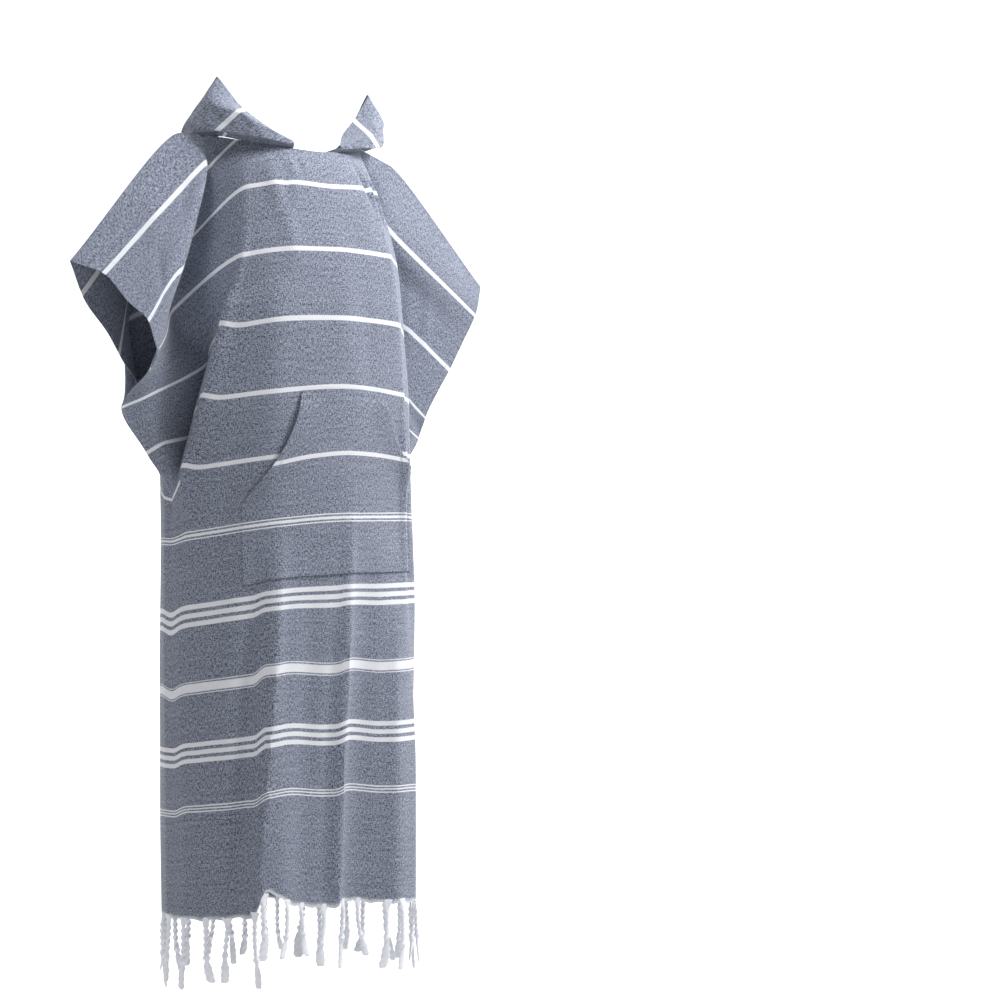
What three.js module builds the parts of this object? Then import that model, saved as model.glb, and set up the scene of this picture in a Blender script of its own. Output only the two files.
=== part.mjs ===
// Hooded bath poncho, worn form with no wearer, hood down.
// One length of striped cotton cloth over the shoulders, a kangaroo pocket,
// a hood in two halves and a knotted fringe at both hems.
// Millimetres, +Z up. The front faces -Y and the wearer's right is -X.
// The origin is the middle of the neck at shoulder height.
import * as THREE from 'three';

// Cloth and seams
const WALL = 2.0;
const SEAM_GAP = 0.3;
const POCKET_WALL = 1.6;
const POCKET_LIFT = 1.6;

// The cut, measured on the flat cloth: down from the shoulder fold
const HEM = 1165;
const POCKET_TOP = 424;
const POCKET_MOUTH_END = 575;
const POCKET_BOTTOM = 690;
const POCKET_TOP_HALF = 76;
const POCKET_BOTTOM_HALF = 160;
const POCKET_STRAIGHT_SHARE = 0.25;

// Fringe
const TASSELS = 16;
const TASSEL_WIDTH = 8;
const TASSEL_LENGTHS = [92, 82, 80, 96, 84, 72, 66, 78, 90, 74, 86];
const STRIP_HEIGHT = 7;
const STRIP_WALL = 1.8;
const TASSEL_HALF_DEPTH = 2.5;
const NORMAL_REACH = 2;
// How far down a tassel each level lies, and its share of the full width
const TASSEL_LEVELS = [[0.35, 0.9], [0.62, 1.25], [0.72, 0.8], [1, 0.95]];
// How far a tassel's end leans sideways and forwards, and how fast that varies
const LEAN_SIDE = 7;
const LEAN_FRONT = 3;
const LEAN_SIDE_TURN = 2.3;
const LEAN_FRONT_TURN = 1.7;

// Mesh steps in each span between stations, from the centre to the side edge
const SPAN_STEPS = [4, 4, 4, 4, 5];
const ROW_STEPS = 2;
const HOOD_STEPS = [1, 4, 4, 4];
const HOOD_ROW_STEPS = 2;
const POCKET_COLUMNS = 18;
const POCKET_MOUTH_ROWS = 5;
const POCKET_SIDE_ROWS = 3;
const HEM_STEPS = 400;

// Looking up a place on the cut: first and last step down, and stride across
const SEARCH_START = 5;
const SEARCH_END = 0.001;
const SEARCH_STRIDE = 0.02;

// Stations across half a panel: the centre line, mid chest, the chest crest,
// the valley at the armpit, the sleeve's crest, and the side edge.
// Each row is a line across the cloth: `down` is how far each station lies
// below the shoulder fold on the cut, and the rest is where it hangs.
const STATIONS = ['centre', 'mid', 'crest', 'valley', 'sleeve', 'edge'];

const FRONT_ROWS = [
  { down: [85, 83, 50, 8, 0, 0], centre: [0, -70, -18], mid: [-52, -62, -15], crest: [-104, -34, -7],
    valley: [-131, -5, 0], sleeve: [-190, 0, 0], edge: [-373, 0, -188] },
  { down: [104, 102, 84, 52, 38, 40], centre: [0, -81, -37], mid: [-54, -76, -35], crest: [-110, -46, -36],
    valley: [-148, -2, -60], sleeve: [-160, -20, -38], edge: [-337, -28, -205] },
  { down: [135, 135, 130, 120, 90, 92], centre: [0, -95, -69], mid: [-58, -92, -67], crest: [-116, -60, -70],
    valley: [-168, 4, -130], sleeve: [-204, -50, -128], edge: [-319, -58, -243] },
  { down: [182, 182, 180, 178, 140, 137], centre: [0, -107, -114], mid: [-64, -103, -114], crest: [-129, -72, -122],
    valley: [-182, 10, -190], sleeve: [-242, -68, -206], edge: [-300, -80, -271] },
  { down: [230, 230, 230, 230, 185, 180], centre: [0, -118, -160], mid: [-72, -113, -162], crest: [-140, -78, -173],
    valley: [-192, 12, -244], sleeve: [-262, -66, -272], edge: [-288, -80, -303] },
  { down: [278, 278, 278, 278, 240, 232], centre: [0, -125, -208], mid: [-80, -118, -210], crest: [-153, -72, -226],
    valley: [-176, 8, -284], sleeve: [-256, -30, -318], edge: [-272, -42, -334] },
  { down: [325, 325, 325, 325, 325, 325], centre: [0, -130, -257], mid: [-88, -122, -260], crest: [-165, -64, -281],
    valley: [-145, -8, -314], sleeve: [-250, -14, -366], edge: [-288, 0, -384] },
  { down: [420, 420, 420, 420, 420, 420], centre: [0, -135, -353], mid: [-100, -122, -360], crest: [-188, -46, -380],
    valley: [-168, 1, -419], sleeve: [-228, -9, -434], edge: [-246, 0, -446] },
  { down: [515, 515, 515, 515, 515, 515], centre: [0, -136, -444], mid: [-112, -118, -452], crest: [-199, -30, -474],
    valley: [-204, -17, -492], sleeve: [-204, -9, -503], edge: [-202, 0, -512] },
  { down: [610, 610, 610, 610, 610, 610], centre: [0, -136, -536], mid: [-114, -114, -544], crest: [-190, -46, -560],
    valley: [-200, -26, -564], sleeve: [-203, -12, -566], edge: [-203, 0, -567] },
  { down: [750, 750, 750, 750, 750, 750], centre: [0, -134, -674], mid: [-112, -122, -682], crest: [-186, -56, -697],
    valley: [-200, -32, -701], sleeve: [-204, -14, -703], edge: [-204, 0, -704] },
  { down: [900, 900, 900, 900, 900, 900], centre: [0, -128, -822], mid: [-108, -126, -829], crest: [-182, -62, -841],
    valley: [-197, -36, -845], sleeve: [-201, -16, -846], edge: [-201, 0, -846] },
  { down: [1040, 1040, 1040, 1040, 1040, 1040], centre: [0, -124, -960], mid: [-106, -128, -964], crest: [-180, -66, -974],
    valley: [-195, -38, -977], sleeve: [-199, -18, -978], edge: [-199, 0, -978] },
  { down: [HEM, HEM, HEM, HEM, HEM, HEM], centre: [0, -122, -1084], mid: [-104, -130, -1086], crest: [-178, -68, -1094],
    valley: [-193, -40, -1096], sleeve: [-197, -18, -1097], edge: [-197, 0, -1097] },
];

const BACK_ROWS = [
  { down: [25, 24, 16, 4, 0, 0], centre: [0, 72, -8], mid: [-56, 66, -7], crest: [-106, 38, -4],
    valley: [-131, 5, 0], sleeve: [-190, 0, 0], edge: [-373, 0, -188] },
  { down: [62, 62, 60, 50, 52, 55], centre: [0, 92, -40], mid: [-58, 86, -39], crest: [-114, 56, -38],
    valley: [-146, 26, -44], sleeve: [-176, 26, -52], edge: [-333, 18, -244] },
  { down: [100, 100, 100, 98, 104, 102], centre: [0, 104, -76], mid: [-62, 98, -75], crest: [-124, 72, -76],
    valley: [-158, 38, -92], sleeve: [-202, 44, -110], edge: [-298, 20, -281] },
  { down: [150, 150, 150, 150, 156, 150], centre: [0, 114, -124], mid: [-66, 108, -124], crest: [-134, 84, -126],
    valley: [-168, 44, -150], sleeve: [-224, 54, -176], edge: [-273, 18, -320] },
  { down: [215, 215, 215, 215, 220, 212], centre: [0, 121, -188], mid: [-72, 116, -188], crest: [-146, 90, -192],
    valley: [-180, 46, -220], sleeve: [-240, 60, -254], edge: [-246, 22, -352] },
  { down: [278, 278, 278, 278, 278, 276], centre: [0, 126, -250], mid: [-78, 120, -250], crest: [-156, 86, -256],
    valley: [-190, 42, -282], sleeve: [-246, 48, -318], edge: [-262, 15, -369] },
  { down: [325, 325, 325, 325, 325, 325], centre: [0, 128, -298], mid: [-84, 122, -298], crest: [-164, 78, -306],
    valley: [-197, 36, -330], sleeve: [-246, 32, -358], edge: [-288, 0, -384] },
  { down: [420, 420, 420, 420, 420, 420], centre: [0, 130, -392], mid: [-94, 120, -393], crest: [-178, 60, -402],
    valley: [-205, 26, -420], sleeve: [-230, 16, -434], edge: [-246, 0, -446] },
  { down: [515, 515, 515, 515, 515, 515], centre: [0, 131, -487], mid: [-104, 116, -488], crest: [-184, 52, -496],
    valley: [-200, 26, -504], sleeve: [-205, 12, -509], edge: [-202, 0, -512] },
  { down: [610, 610, 610, 610, 610, 610], centre: [0, 131, -582], mid: [-108, 112, -580], crest: [-184, 52, -574],
    valley: [-199, 28, -570], sleeve: [-204, 13, -568], edge: [-203, 0, -567] },
  { down: [750, 750, 750, 750, 750, 750], centre: [0, 127, -722], mid: [-106, 116, -720], crest: [-183, 56, -711],
    valley: [-199, 30, -707], sleeve: [-204, 14, -705], edge: [-204, 0, -704] },
  { down: [900, 900, 900, 900, 900, 900], centre: [0, 122, -871], mid: [-104, 118, -867], crest: [-180, 60, -854],
    valley: [-196, 32, -849], sleeve: [-201, 15, -847], edge: [-201, 0, -846] },
  { down: [1040, 1040, 1040, 1040, 1040, 1040], centre: [0, 118, -1008], mid: [-102, 120, -1003], crest: [-178, 62, -988],
    valley: [-194, 34, -982], sleeve: [-199, 16, -979], edge: [-199, 0, -978] },
  { down: [HEM, HEM, HEM, HEM, HEM, HEM], centre: [0, 116, -1100], mid: [-100, 120, -1100], crest: [-176, 62, -1099],
    valley: [-192, 34, -1098], sleeve: [-197, 16, -1097], edge: [-197, 0, -1097] },
];

// The wearer's left hangs a little differently: its sleeve falls straight
// down and the cloth of the back comes forward over the shoulder. These take
// the place of the same columns of the first rows, still written as on the
// right, and LEFT_LIFT is how much higher each row hangs at the side.
const FRONT_LEFT = [
  { down: [85, 83, 50, -10, -30, -22], valley: [-131, -5, 0], sleeve: [-190, 0, -16], edge: [-373, 0, -188] },
  { down: [104, 102, 84, 46, 38, 40], valley: [-150, -6, -84], sleeve: [-170, -20, -108], edge: [-353, -10, -233] },
  { down: [135, 135, 130, 112, 92, 92], valley: [-172, 6, -150], sleeve: [-206, -4, -186], edge: [-329, -8, -275] },
  { down: [182, 182, 180, 160, 137, 137], valley: [-184, 10, -210], sleeve: [-214, -4, -250], edge: [-303, -7, -318] },
  { down: [230, 230, 230, 210, 185, 182], valley: [-194, 10, -268], sleeve: [-218, -4, -306], edge: [-279, -7, -352] },
  { down: [278, 278, 278, 262, 240, 230], valley: [-200, 8, -318], sleeve: [-220, -4, -362], edge: [-256, -7, -390] },
  { down: [325, 325, 325, 322, 322, 325], valley: [-204, 2, -370], sleeve: [-226, -8, -408], edge: [-248, 0, -420] },
  { down: [420, 420, 420, 420, 420, 420], valley: [-206, -8, -420], sleeve: [-214, -8, -448], edge: [-222, 0, -458] },
];
const BACK_LEFT = [
  { down: [25, 24, 16, 12, 30, 22], valley: [-131, 5, 0], sleeve: [-190, 0, -16], edge: [-373, 0, -188] },
  { down: [62, 62, 60, 50, 60, 62], sleeve: [-206, 30, -70], edge: [-340, 22, -238] },
  { down: [100, 100, 100, 98, 106, 106], sleeve: [-216, 44, -122], edge: [-316, 24, -285] },
  { down: [150, 150, 150, 150, 158, 152], sleeve: [-230, 52, -184], edge: [-294, 24, -328] },
  { down: [215, 215, 215, 215, 220, 212], sleeve: [-240, 56, -262], edge: [-270, 24, -370] },
  { down: [278, 278, 278, 278, 278, 276], sleeve: [-240, 46, -336], edge: [-257, 14, -398] },
  { sleeve: [-236, 26, -396], edge: [-248, 0, -420] },
  { sleeve: [-222, 18, -446], edge: [-222, 0, -458] },
];
const LEFT_LIFT = [0, 0, 0, 0, 0, 0, 0, 0, 16, 20, 22, 16, 4, -4];
const FRONT_LIFT_SHARE = { mid: 0.4, crest: 1, valley: 1, sleeve: 1, edge: 1 };
const BACK_LIFT_SHARE = { crest: 0.3, valley: 0.7, sleeve: 0.9, edge: 1 };

// The hood lies down. Each row is a cut from its neck seam, over the roll
// beside the neck, down to the bottom of the bag and up to the face edge.
// `neck` is the place of its seam on a panel's own neckline.
const HOOD_LIFT = 0.65;
const HOOD_ROWS = [
  { panel: 'front', neck: 0.76, roll: [-41, -68, -13], bottom: [-42, -71, -11], belly: [-43, -71, -8], rim: [-42, -69, -5] },
  { panel: 'front', neck: 1.3, roll: [-71, -60, -7], bottom: [-82, -70, -6], belly: [-84, -68, 8], rim: [-67, -44, 15] },
  { panel: 'front', neck: 2, roll: [-107, -38, 0], bottom: [-126, -50, 0], belly: [-133, -50, 30], rim: [-103, -28, 43] },
  { panel: 'front', neck: 2.9, roll: [-134, -7, 8], bottom: [-160, -14, 6], belly: [-166, -16, 38], rim: [-138, -16, 83] },
  { panel: 'back', neck: 2.3, roll: [-128, 28, 8], bottom: [-160, 38, 0], belly: [-158, 38, 14], rim: [-136, 36, 22] },
  { panel: 'back', neck: 1.7, roll: [-102, 57, -2], bottom: [-138, 96, -70], belly: [-146, 104, -44], rim: [-110, 78, -8] },
  { panel: 'back', neck: 1, roll: [-60, 80, -5], bottom: [-92, 134, -152], belly: [-100, 156, -92], rim: [-68, 116, -15] },
  { panel: 'back', neck: 0.03, roll: [-2, 87, -8], bottom: [-2, 142, -196], belly: [-2, 176, -108], rim: [-2, 128, -18] },
];

const vec = (point) => new THREE.Vector3(...point);

// The rows of the wearer's left half, from those of the right
function leftRows(rows, changes, shares) {
  return rows.map((row, k) => {
    const changed = { ...row, ...changes[k] };
    Object.entries(shares).forEach(([name, share]) => {
      const [x, y, z] = changed[name];
      changed[name] = [x, y, z + LEFT_LIFT[k] * share];
    });
    return changed;
  });
}

const FRONT = { right: FRONT_ROWS, left: leftRows(FRONT_ROWS, FRONT_LEFT, FRONT_LIFT_SHARE) };
const BACK = { right: BACK_ROWS, left: leftRows(BACK_ROWS, BACK_LEFT, BACK_LIFT_SHARE) };

// A curve step that never swings past its own points
function easy(p0, p1, p2, p3, t) {
  const slope = (before, after) => (before * after <= 0 ? 0 : (2 * before * after) / (before + after));
  const m1 = slope(p1 - p0, p2 - p1);
  const m2 = slope(p2 - p1, p3 - p2);
  const t2 = t * t;
  const t3 = t2 * t;
  return (2 * t3 - 3 * t2 + 1) * p1 + (t3 - 2 * t2 + t) * m1 + (3 * t2 - 2 * t3) * p2 + (t3 - t2) * m2;
}

// A smooth curve through a list of number lists, at t counted in list steps
function through(list, t) {
  const last = list.length - 1;
  const i = Math.min(Math.floor(t), last - 1);
  const at = (k, c) => {
    if (k < 0) return 2 * list[0][c] - list[1][c];
    if (k > last) return 2 * list[last][c] - list[last - 1][c];
    return list[k][c];
  };
  return list[0].map((_, c) => easy(at(i - 1, c), at(i, c), at(i + 1, c), at(i + 2, c), t - i));
}

// Half a panel: across runs from 0 at the centre to 5 at the side edge, along
// runs down the rows. Returns x, y, z and how far down the cut the point is.
function panelPoint(rows, along, across) {
  const stations = STATIONS.map((name, k) => through(rows.map((row) => [...row[name], row.down[k]]), along));
  const mirrored = stations[1].map((value, c) => (c === 0 ? -value : value));
  const [x, y, z, down] = through([mirrored, ...stations], across + 1);
  return [x, y, z, down];
}

// Steps along a panel, evenly placed between the rows of its table
function alongSteps(rows) {
  return Array.from({ length: (rows.length - 1) * ROW_STEPS + 1 }, (_, i) => i / ROW_STEPS);
}

// Steps across a list of spans, each cut into its own number of steps
function stepsIn(spans) {
  const steps = spans.flatMap((count, span) => Array.from({ length: count }, (_, i) => span + i / count));
  return [...steps, spans.length];
}

// A grid of points over the whole width of a panel, from the wearer's left to right
function panelGrid(sides, side) {
  const half = stepsIn(SPAN_STEPS);
  const pointsOf = (rows, along, mirror) => half.map((across) => {
    const [x, y, z] = panelPoint(rows, along, across);
    return new THREE.Vector3(mirror * x, y + side * SEAM_GAP / 2, z);
  });
  return alongSteps(sides.right).map((along) => {
    const left = pointsOf(sides.left, along, -1).slice(1).reverse();
    return [...left, ...pointsOf(sides.right, along, 1)];
  });
}

// Normals of a grid that point to the outside of the garment
function gridNormals(grid, flip) {
  return grid.map((row, j) => row.map((_, i) => {
    const across = row[Math.min(i + 1, row.length - 1)].clone().sub(row[Math.max(i - 1, 0)]);
    const up = grid[Math.max(j - 1, 0)][i].clone().sub(grid[Math.min(j + 1, grid.length - 1)][i]);
    return across.cross(up).normalize().multiplyScalar(flip);
  }));
}

// A closed wall between two grids of the same size, faces pointing out
function wallBetween(inner, outer, flip) {
  const rows = inner.length;
  const columns = inner[0].length;
  const positions = [...inner.flat(), ...outer.flat()].flatMap((p) => [p.x, p.y, p.z]);
  const index = [];
  const at = (layer, j, i) => layer * rows * columns + j * columns + i;
  const quad = (a, b, c, d) => {
    if (flip > 0) index.push(a, b, c, a, c, d);
    else index.push(a, c, b, a, d, c);
  };
  for (let j = 0; j < rows - 1; j += 1) {
    for (let i = 0; i < columns - 1; i += 1) {
      quad(at(1, j, i), at(1, j + 1, i), at(1, j + 1, i + 1), at(1, j, i + 1));
      quad(at(0, j, i), at(0, j, i + 1), at(0, j + 1, i + 1), at(0, j + 1, i));
    }
  }
  for (let i = 0; i < columns - 1; i += 1) {
    quad(at(0, 0, i), at(1, 0, i), at(1, 0, i + 1), at(0, 0, i + 1));
    quad(at(1, rows - 1, i), at(0, rows - 1, i), at(0, rows - 1, i + 1), at(1, rows - 1, i + 1));
  }
  for (let j = 0; j < rows - 1; j += 1) {
    quad(at(0, j, 0), at(0, j + 1, 0), at(1, j + 1, 0), at(1, j, 0));
    quad(at(1, j, columns - 1), at(1, j + 1, columns - 1), at(0, j + 1, columns - 1), at(0, j, columns - 1));
  }
  const geometry = new THREE.BufferGeometry();
  geometry.setAttribute('position', new THREE.Float32BufferAttribute(positions, 3));
  geometry.setIndex(index);
  geometry.computeVertexNormals();
  return geometry;
}

function movedOut(grid, normals, distance) {
  return grid.map((row, j) => row.map((p, i) => p.clone().addScaledVector(normals[j][i], distance)));
}

// The cloth's edges on a seam keep to their own side of it
function keepToSide(normals, side) {
  return normals.map((row, j) => row.map((n, i) => {
    const onEdge = i === 0 || i === row.length - 1 || j === 0;
    if (!onEdge || n.y * side > 0) return n;
    return new THREE.Vector3(n.x, 0, n.z).normalize();
  }));
}

function panel(sides, side) {
  const inner = panelGrid(sides, side);
  const normals = keepToSide(gridNormals(inner, -side), side);
  return wallBetween(inner, movedOut(inner, normals, WALL), -side);
}

// Half width of the pocket: curved hand openings above, straight sides below
function pocketHalf(down) {
  if (down >= POCKET_MOUTH_END) return POCKET_BOTTOM_HALF;
  const t = (down - POCKET_TOP) / (POCKET_MOUTH_END - POCKET_TOP);
  const curve = POCKET_STRAIGHT_SHARE * t + (1 - POCKET_STRAIGHT_SHARE) * t * t;
  return POCKET_TOP_HALF + (POCKET_BOTTOM_HALF - POCKET_TOP_HALF) * curve;
}

// The front panel's point at a place on the cut, found from how far down and
// how far out along the row it lies
function frontAt(down, out) {
  const rows = out > 0 ? FRONT.left : FRONT.right;
  let along = 0;
  for (let step = SEARCH_START; step > SEARCH_END; step /= 2) {
    while (along + step <= rows.length - 1 && panelPoint(rows, along + step, 0)[3] <= down) along += step;
  }
  let previous = vec(panelPoint(rows, along, 0).slice(0, 3));
  let length = 0;
  let across = 0;
  while (length < Math.abs(out)) {
    across += SEARCH_STRIDE;
    const next = vec(panelPoint(rows, along, across).slice(0, 3));
    length += next.distanceTo(previous);
    previous = next;
  }
  return new THREE.Vector3(out > 0 ? -previous.x : previous.x, previous.y, previous.z);
}

function pocket() {
  const downs = [];
  for (let k = 0; k < POCKET_MOUTH_ROWS; k += 1) {
    downs.push(POCKET_TOP + (POCKET_MOUTH_END - POCKET_TOP) * k / POCKET_MOUTH_ROWS);
  }
  for (let k = 0; k <= POCKET_SIDE_ROWS; k += 1) {
    downs.push(POCKET_MOUTH_END + (POCKET_BOTTOM - POCKET_MOUTH_END) * k / POCKET_SIDE_ROWS);
  }
  const grid = downs.map((down) => Array.from({ length: POCKET_COLUMNS + 1 }, (_, i) => (
    frontAt(down, pocketHalf(down) * (1 - 2 * i / POCKET_COLUMNS))
  )));
  const normals = gridNormals(grid, 1);
  const inner = movedOut(grid, normals, WALL + POCKET_LIFT);
  return wallBetween(inner, movedOut(grid, normals, WALL + POCKET_LIFT + POCKET_WALL), 1);
}

// Half of the hood: a wall that runs from the neck seam round the bag to the face edge
function hood(side) {
  const parts = ['seam', 'roll', 'bottom', 'belly', 'rim'];
  const rows = HOOD_ROWS.map((row) => {
    const [x, y, z] = panelPoint(row.panel === 'front' ? FRONT_ROWS : BACK_ROWS, 0, row.neck);
    return { ...row, seam: [Math.min(x, -SEAM_GAP / 2), y, z + HOOD_LIFT] };
  });
  const rounds = stepsIn(HOOD_STEPS);
  const grid = [];
  for (let along = 0; along <= (rows.length - 1) * HOOD_ROW_STEPS; along += 1) {
    const profile = parts.map((name) => through(rows.map((row) => row[name]), along / HOOD_ROW_STEPS));
    grid.push(rounds.map((t) => {
      const [x, y, z] = through(profile, t);
      return new THREE.Vector3(side * x, y, z);
    }));
  }
  const normals = gridNormals(grid, side);
  return wallBetween(grid, movedOut(grid, normals, WALL), side);
}

// A row of tassels that hang from one narrow strip just below a hem
function fringe(sides, side) {
  const last = sides.right.length - 1;
  const hemPoint = (fraction) => {
    const across = Math.abs(fraction) * (STATIONS.length - 1);
    const [x, y, z] = panelPoint(fraction > 0 ? sides.left : sides.right, last, across);
    return new THREE.Vector3(fraction > 0 ? -x : x, y + side * (SEAM_GAP / 2), z - SEAM_GAP);
  };
  const hemLength = [0];
  const hemStep = (i) => hemPoint(1 - 2 * i / HEM_STEPS);
  for (let i = 1; i <= HEM_STEPS; i += 1) {
    hemLength.push(hemLength[i - 1] + hemStep(i).distanceTo(hemStep(i - 1)));
  }
  const total = hemLength[HEM_STEPS];
  const atLength = (length) => {
    const i = Math.min(HEM_STEPS - 1, Math.max(0, hemLength.findIndex((value) => value > length) - 1));
    const t = (length - hemLength[i]) / (hemLength[i + 1] - hemLength[i]);
    return hemStep(i + t);
  };
  const stops = [];
  const kinds = [];
  const pitch = total / TASSELS;
  for (let k = 0; k < TASSELS; k += 1) {
    const middle = pitch * (k + 0.5);
    if (k === 0) stops.push(SEAM_GAP);
    stops.push(middle - TASSEL_WIDTH / 2, middle + TASSEL_WIDTH / 2);
    kinds.push(false, true);
    stops.push(k === TASSELS - 1 ? total - SEAM_GAP : pitch * (k + 1));
    kinds.push(false);
  }
  const positions = [];
  const index = [];
  const add = (p) => positions.push(p.x, p.y, p.z) / 3 - 1;
  const outward = stops.map((stop) => {
    const along = atLength(Math.min(total, stop + NORMAL_REACH)).sub(atLength(Math.max(0, stop - NORMAL_REACH)));
    return new THREE.Vector3(along.y, -along.x, 0).normalize().multiplyScalar(side);
  });
  const ring = (stop, drop) => {
    const low = atLength(stops[stop]).add(new THREE.Vector3(0, 0, -drop));
    return [low, low.clone().addScaledVector(outward[stop], STRIP_WALL)];
  };
  const tops = stops.map((_, k) => ring(k, 0).map(add));
  const feet = stops.map((_, k) => ring(k, STRIP_HEIGHT).map(add));
  const face = (a, b, c, d) => {
    if (side < 0) index.push(a, b, c, a, c, d);
    else index.push(a, c, b, a, d, c);
  };
  for (let k = 0; k < stops.length - 1; k += 1) {
    face(tops[k][1], tops[k + 1][1], feet[k + 1][1], feet[k][1]);
    face(tops[k + 1][0], tops[k][0], feet[k][0], feet[k + 1][0]);
    face(tops[k][0], tops[k + 1][0], tops[k + 1][1], tops[k][1]);
    if (!kinds[k]) {
      face(feet[k][1], feet[k + 1][1], feet[k + 1][0], feet[k][0]);
      continue;
    }
    // A tassel: narrow neck, a knot, and a brush that ends in a small square
    const length = TASSEL_LENGTHS[k % TASSEL_LENGTHS.length];
    const lean = new THREE.Vector3(Math.sin(k * LEAN_SIDE_TURN) * LEAN_SIDE, Math.cos(k * LEAN_FRONT_TURN) * LEAN_FRONT, 0);
    let above = [feet[k], feet[k + 1]];
    const left = atLength(stops[k]);
    const right = atLength(stops[k + 1]);
    const middle = left.clone().lerp(right, 0.5);
    const across = right.clone().sub(left).setZ(0).multiplyScalar(0.5);
    const out = outward[k].clone().add(outward[k + 1]).normalize();
    TASSEL_LEVELS.forEach(([fraction, width]) => {
      const centre = middle.clone().addScaledVector(out, STRIP_WALL / 2).addScaledVector(lean, fraction * fraction);
      centre.z -= STRIP_HEIGHT + length * fraction;
      const corner = (s, d) => add(centre.clone().addScaledVector(across, s * width)
        .addScaledVector(out, d * width * TASSEL_HALF_DEPTH));
      const below = [[corner(-1, -1), corner(-1, 1)], [corner(1, -1), corner(1, 1)]];
      face(above[0][1], above[1][1], below[1][1], below[0][1]);
      face(above[1][0], above[0][0], below[0][0], below[1][0]);
      face(above[0][0], above[0][1], below[0][1], below[0][0]);
      face(above[1][1], above[1][0], below[1][0], below[1][1]);
      above = below;
    });
    face(above[0][1], above[1][1], above[1][0], above[0][0]);
  }
  const end = stops.length - 1;
  face(tops[0][0], tops[0][1], feet[0][1], feet[0][0]);
  face(tops[end][1], tops[end][0], feet[end][0], feet[end][1]);
  const geometry = new THREE.BufferGeometry();
  geometry.setAttribute('position', new THREE.Float32BufferAttribute(positions, 3));
  geometry.setIndex(index);
  geometry.computeVertexNormals();
  return geometry;
}

const cloth = () => new THREE.MeshStandardMaterial({ color: 0x7c8391, roughness: 0.92, metalness: 0 });
const cotton = () => new THREE.MeshStandardMaterial({ color: 0xdcdce4, roughness: 0.95, metalness: 0 });

function named(name, geometry, material) {
  const mesh = new THREE.Mesh(geometry, material);
  mesh.name = name;
  return mesh;
}

const poncho = new THREE.Group();
poncho.name = 'bath_poncho';
poncho.add(named('front', panel(FRONT, -1), cloth()));
poncho.add(named('back', panel(BACK, 1), cloth()));
poncho.add(named('hood_right', hood(1), cloth()));
poncho.add(named('hood_left', hood(-1), cloth()));
poncho.add(named('pocket', pocket(), cloth()));
poncho.add(named('fringe_front', fringe(FRONT, -1), cotton()));
poncho.add(named('fringe_back', fringe(BACK, 1), cotton()));

export default poncho;
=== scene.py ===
# %% [markdown]
# # A hooded bath poncho
# One long striped cotton towel, folded over the shoulders, with a hood, a
# kangaroo pocket and knotted fringes. The solid frame is loaded first. Each
# cloth is then laid out flat, as on a cutting table, and hung on the same form.

# %% Load the frame
import math

import bpy
import numpy as np
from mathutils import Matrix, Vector


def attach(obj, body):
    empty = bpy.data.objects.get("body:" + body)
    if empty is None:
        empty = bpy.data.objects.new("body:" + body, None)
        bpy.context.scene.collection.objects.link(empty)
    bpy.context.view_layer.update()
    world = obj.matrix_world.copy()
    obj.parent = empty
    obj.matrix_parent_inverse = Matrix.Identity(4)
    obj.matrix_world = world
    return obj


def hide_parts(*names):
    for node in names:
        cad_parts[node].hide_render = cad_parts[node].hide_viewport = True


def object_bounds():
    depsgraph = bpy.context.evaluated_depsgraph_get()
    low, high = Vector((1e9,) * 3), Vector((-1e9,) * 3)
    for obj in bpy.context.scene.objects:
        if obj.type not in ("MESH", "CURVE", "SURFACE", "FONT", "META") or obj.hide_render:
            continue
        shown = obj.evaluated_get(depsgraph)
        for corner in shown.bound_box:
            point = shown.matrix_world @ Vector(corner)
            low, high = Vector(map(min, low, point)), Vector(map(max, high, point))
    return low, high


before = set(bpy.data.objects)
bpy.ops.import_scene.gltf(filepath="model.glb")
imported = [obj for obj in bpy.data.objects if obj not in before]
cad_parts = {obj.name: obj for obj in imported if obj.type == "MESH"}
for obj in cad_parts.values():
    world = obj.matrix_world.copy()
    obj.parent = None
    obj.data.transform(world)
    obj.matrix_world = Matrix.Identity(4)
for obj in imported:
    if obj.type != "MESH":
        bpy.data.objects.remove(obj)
cad_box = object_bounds()
bpy.ops.object.select_all(action="DESELECT")
MM = 0.001
print("frame box", cad_box)

# %% [markdown]
# The camera stands four metres away, level with the middle of the garment,
# to the wearer's right of the front. A small shift puts the garment on the
# left side of the picture, where the photograph has it.

# %% Camera
YAW = math.radians(-38)
DISTANCE = 4.0
MIDDLE = -0.512
bpy.ops.object.camera_add(
    location=(DISTANCE * math.sin(YAW), -DISTANCE * math.cos(YAW), MIDDLE),
    rotation=(math.pi / 2, 0, YAW),
)
camera = bpy.context.active_object
camera.data.sensor_width = 36
camera.data.lens = 100
camera.data.shift_x = 0.213
bpy.context.scene.camera = camera

# %% [markdown]
# Plain studio light: a large soft lamp from the wearer's left and above, two
# weaker ones from the right and from the left side, and a bright white
# backdrop, so that the folds that turn to the wearer's right go dark as they
# do in the photograph. The garment hangs free, well above a plain pale floor.

# %% Light and floor
bpy.context.scene.view_settings.view_transform = "Standard"
world = bpy.data.worlds.new("studio")
bpy.context.scene.world = world
world.use_nodes = True
world.node_tree.nodes["Background"].inputs["Color"].default_value = (1.0, 1.0, 1.0, 1)
world.node_tree.nodes["Background"].inputs["Strength"].default_value = 0.24


# Each lamp: name, azimuth in degrees, height, distance, size, and power in watts
LAMPS = [
    ("key_lamp", 45, 1.7, 2.1, 1.1, 99),
    ("top_lamp", -66, 2.2, 1.7, 0.9, 27),
    ("side_lamp", 88, 0.9, 2.5, 1.2, 31),
]
LAMP_AIM = Vector((0, 0, -0.45))


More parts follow.
